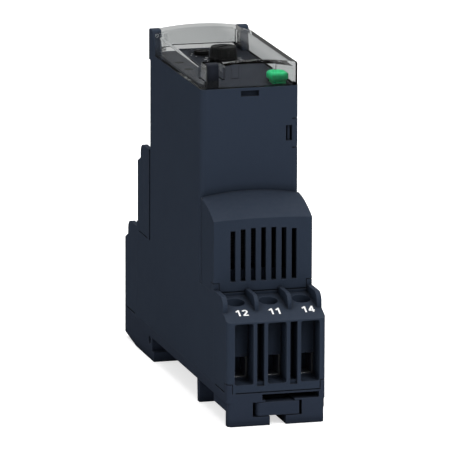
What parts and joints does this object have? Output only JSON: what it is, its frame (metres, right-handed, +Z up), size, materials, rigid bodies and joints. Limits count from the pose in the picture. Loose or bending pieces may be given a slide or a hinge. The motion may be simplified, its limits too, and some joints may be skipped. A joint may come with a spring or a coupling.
{
  "type": "level control relay",
  "caption": "Narrow rail-mounted control relay with stepped sides, screw terminals, a vent grille, a sliding rail clip and a hinged clear cover over its setting knobs.",
  "frame": {"origin": "on the plane of the feet, in the middle of the width and of the length", "axes": "+Z up through the front face, Y along the module's length with the vent grille at -Y, X across its width"},
  "size_m": [0.0226, 0.09, 0.0773],
  "materials": {
    "housing_plastic": "fine spark-eroded texture, dark blue grey",
    "clip_plastic": "smooth, dark blue grey",
    "clear_plastic": "polished, clear",
    "guide_plastic": "polished, clear",
    "knob_plastic": "satin black",
    "green_plastic": "satin green",
    "zinc_steel": "zinc plated",
    "spring_steel": "drawn spring wire",
    "tinned_copper": "tinned copper alloy",
    "board_laminate": "green solder mask",
    "relay_plastic": "sealed black case",
    "core_steel": "laminated, varnished",
    "can_aluminium": "drawn can",
    "part_plastic": "moulded",
    "lamp_plastic": "diffused"
  },
  "bodies": {
    "relay_body": {"housing": "housing_plastic", "vent_cover": "housing_plastic", "rail_base": "housing_plastic", "front_plate": "housing_plastic", "near_terminal_block": "housing_plastic", "far_lower_terminal_block": "housing_plastic", "far_upper_terminal_block": "housing_plastic", "light_guide_1": "guide_plastic", "light_guide_2": "guide_plastic", "clip_spring": "spring_steel", "near_contact_bars": "tinned_copper", "far_lower_contact_bars": "tinned_copper", "far_upper_contact_bars": "tinned_copper", "main_board": "board_laminate", "front_board": "board_laminate", "output_relay": "relay_plastic", "transformer": "core_steel", "capacitor": "can_aluminium", "selector_potentiometer": "part_plastic", "trimmer_potentiometer": "part_plastic", "button_switch": "part_plastic", "lamp_1": "lamp_plastic", "lamp_2": "lamp_plastic"},
    "cover": {"cover": "clear_plastic"},
    "clip": {"rail_clip": "clip_plastic"},
    "selector": {"selector_knob": "knob_plastic"},
    "trimmer": {"trimmer_knob": "knob_plastic"},
    "button": {"test_button": "green_plastic"},
    "near_screw_1": {"near_screw_1": "zinc_steel"},
    "near_screw_2": {"near_screw_2": "zinc_steel"},
    "near_screw_3": {"near_screw_3": "zinc_steel"},
    "far_lower_screw_1": {"far_lower_screw_1": "zinc_steel"},
    "far_lower_screw_2": {"far_lower_screw_2": "zinc_steel"},
    "far_lower_screw_3": {"far_lower_screw_3": "zinc_steel"},
    "far_upper_screw_1": {"far_upper_screw_1": "zinc_steel"},
    "far_upper_screw_2": {"far_upper_screw_2": "zinc_steel"},
    "far_upper_screw_3": {"far_upper_screw_3": "zinc_steel"},
    "near_clamp_1": {"near_clamp_1": "zinc_steel"},
    "near_clamp_2": {"near_clamp_2": "zinc_steel"},
    "near_clamp_3": {"near_clamp_3": "zinc_steel"},
    "far_lower_clamp_1": {"far_lower_clamp_1": "zinc_steel"},
    "far_lower_clamp_2": {"far_lower_clamp_2": "zinc_steel"},
    "far_lower_clamp_3": {"far_lower_clamp_3": "zinc_steel"},
    "far_upper_clamp_1": {"far_upper_clamp_1": "zinc_steel"},
    "far_upper_clamp_2": {"far_upper_clamp_2": "zinc_steel"},
    "far_upper_clamp_3": {"far_upper_clamp_3": "zinc_steel"}
  },
  "joints": [
    {"name": "cover_hinge", "type": "hinge", "parent": "relay_body", "child": "cover", "pos_m": [0, 0.0204, 0.0742], "axis": [-1, 0, 0], "range_deg": [0, 105]},
    {"name": "clip_slide", "type": "slide", "parent": "relay_body", "child": "clip", "axis": [0, -1, 0], "range_m": [0, 0.004], "stiffness_N_per_m": 400, "springref_m": -0.004, "deforming": ["clip_spring"]},
    {"name": "selector_turn", "type": "hinge", "parent": "relay_body", "child": "selector", "pos_m": [0.0024, 0.0085, 0.073], "axis": [0, 0, 1], "range_deg": [-135, 135]},
    {"name": "trimmer_turn", "type": "hinge", "parent": "relay_body", "child": "trimmer", "pos_m": [-0.0011, 0.0146, 0.0715], "axis": [0, 0, 1], "range_deg": [-120, 120]},
    {"name": "button_press", "type": "slide", "parent": "relay_body", "child": "button", "axis": [0, 0, -1], "range_m": [0, 0.0008], "stiffness_N_per_m": 300, "springref_m": -0.001},
    {"name": "near_screw_1_turn", "type": "hinge", "parent": "relay_body", "child": "near_screw_1", "pos_m": [-0.00734, -0.03728, 0.022], "axis": [0, 0, -1], "range_deg": [0, 2160]},
    {"name": "near_clamp_1_rise", "type": "slide", "parent": "relay_body", "child": "near_clamp_1", "axis": [0, 0, 1], "range_m": [0, 0.0036]},
    {"name": "near_screw_2_turn", "type": "hinge", "parent": "relay_body", "child": "near_screw_2", "pos_m": [0.00019, -0.03728, 0.022], "axis": [0, 0, -1], "range_deg": [0, 2160]},
    {"name": "near_clamp_2_rise", "type": "slide", "parent": "relay_body", "child": "near_clamp_2", "axis": [0, 0, 1], "range_m": [0, 0.0036]},
    {"name": "near_screw_3_turn", "type": "hinge", "parent": "relay_body", "child": "near_screw_3", "pos_m": [0.00772, -0.03728, 0.022], "axis": [0, 0, -1], "range_deg": [0, 2160]},
    {"name": "near_clamp_3_rise", "type": "slide", "parent": "relay_body", "child": "near_clamp_3", "axis": [0, 0, 1], "range_m": [0, 0.0036]},
    {"name": "far_lower_screw_1_turn", "type": "hinge", "parent": "relay_body", "child": "far_lower_screw_1", "pos_m": [-0.00734, 0.03728, 0.022], "axis": [0, 0, -1], "range_deg": [0, 2160]},
    {"name": "far_lower_clamp_1_rise", "type": "slide", "parent": "relay_body", "child": "far_lower_clamp_1", "axis": [0, 0, 1], "range_m": [0, 0.0036]},
    {"name": "far_lower_screw_2_turn", "type": "hinge", "parent": "relay_body", "child": "far_lower_screw_2", "pos_m": [0.00019, 0.03728, 0.022], "axis": [0, 0, -1], "range_deg": [0, 2160]},
    {"name": "far_lower_clamp_2_rise", "type": "slide", "parent": "relay_body", "child": "far_lower_clamp_2", "axis": [0, 0, 1], "range_m": [0, 0.0036]},
    {"name": "far_lower_screw_3_turn", "type": "hinge", "parent": "relay_body", "child": "far_lower_screw_3", "pos_m": [0.00772, 0.03728, 0.022], "axis": [0, 0, -1], "range_deg": [0, 2160]},
    {"name": "far_lower_clamp_3_rise", "type": "slide", "parent": "relay_body", "child": "far_lower_clamp_3", "axis": [0, 0, 1], "range_m": [0, 0.0036]},
    {"name": "far_upper_screw_1_turn", "type": "hinge", "parent": "relay_body", "child": "far_upper_screw_1", "pos_m": [-0.00734, 0.02588, 0.0422], "axis": [0, 0, -1], "range_deg": [0, 2160]},
    {"name": "far_upper_clamp_1_rise", "type": "slide", "parent": "relay_body", "child": "far_upper_clamp_1", "axis": [0, 0, 1], "range_m": [0, 0.0036]},
    {"name": "far_upper_screw_2_turn", "type": "hinge", "parent": "relay_body", "child": "far_upper_screw_2", "pos_m": [0.00019, 0.02588, 0.0422], "axis": [0, 0, -1], "range_deg": [0, 2160]},
    {"name": "far_upper_clamp_2_rise", "type": "slide", "parent": "relay_body", "child": "far_upper_clamp_2", "axis": [0, 0, 1], "range_m": [0, 0.0036]},
    {"name": "far_upper_screw_3_turn", "type": "hinge", "parent": "relay_body", "child": "far_upper_screw_3", "pos_m": [0.00772, 0.02588, 0.0422], "axis": [0, 0, -1], "range_deg": [0, 2160]},
    {"name": "far_upper_clamp_3_rise", "type": "slide", "parent": "relay_body", "child": "far_upper_clamp_3", "axis": [0, 0, 1], "range_m": [0, 0.0036]}
  ],
  "couplings": [
    {"joint": "near_screw_1_turn", "follows": "near_clamp_1_rise", "rad_per_m": 10472},
    {"joint": "near_screw_2_turn", "follows": "near_clamp_2_rise", "rad_per_m": 10472},
    {"joint": "near_screw_3_turn", "follows": "near_clamp_3_rise", "rad_per_m": 10472},
    {"joint": "far_lower_screw_1_turn", "follows": "far_lower_clamp_1_rise", "rad_per_m": 10472},
    {"joint": "far_lower_screw_2_turn", "follows": "far_lower_clamp_2_rise", "rad_per_m": 10472},
    {"joint": "far_lower_screw_3_turn", "follows": "far_lower_clamp_3_rise", "rad_per_m": 10472},
    {"joint": "far_upper_screw_1_turn", "follows": "far_upper_clamp_1_rise", "rad_per_m": 10472},
    {"joint": "far_upper_screw_2_turn", "follows": "far_upper_clamp_2_rise", "rad_per_m": 10472},
    {"joint": "far_upper_screw_3_turn", "follows": "far_upper_clamp_3_rise", "rad_per_m": 10472}
  ]
}
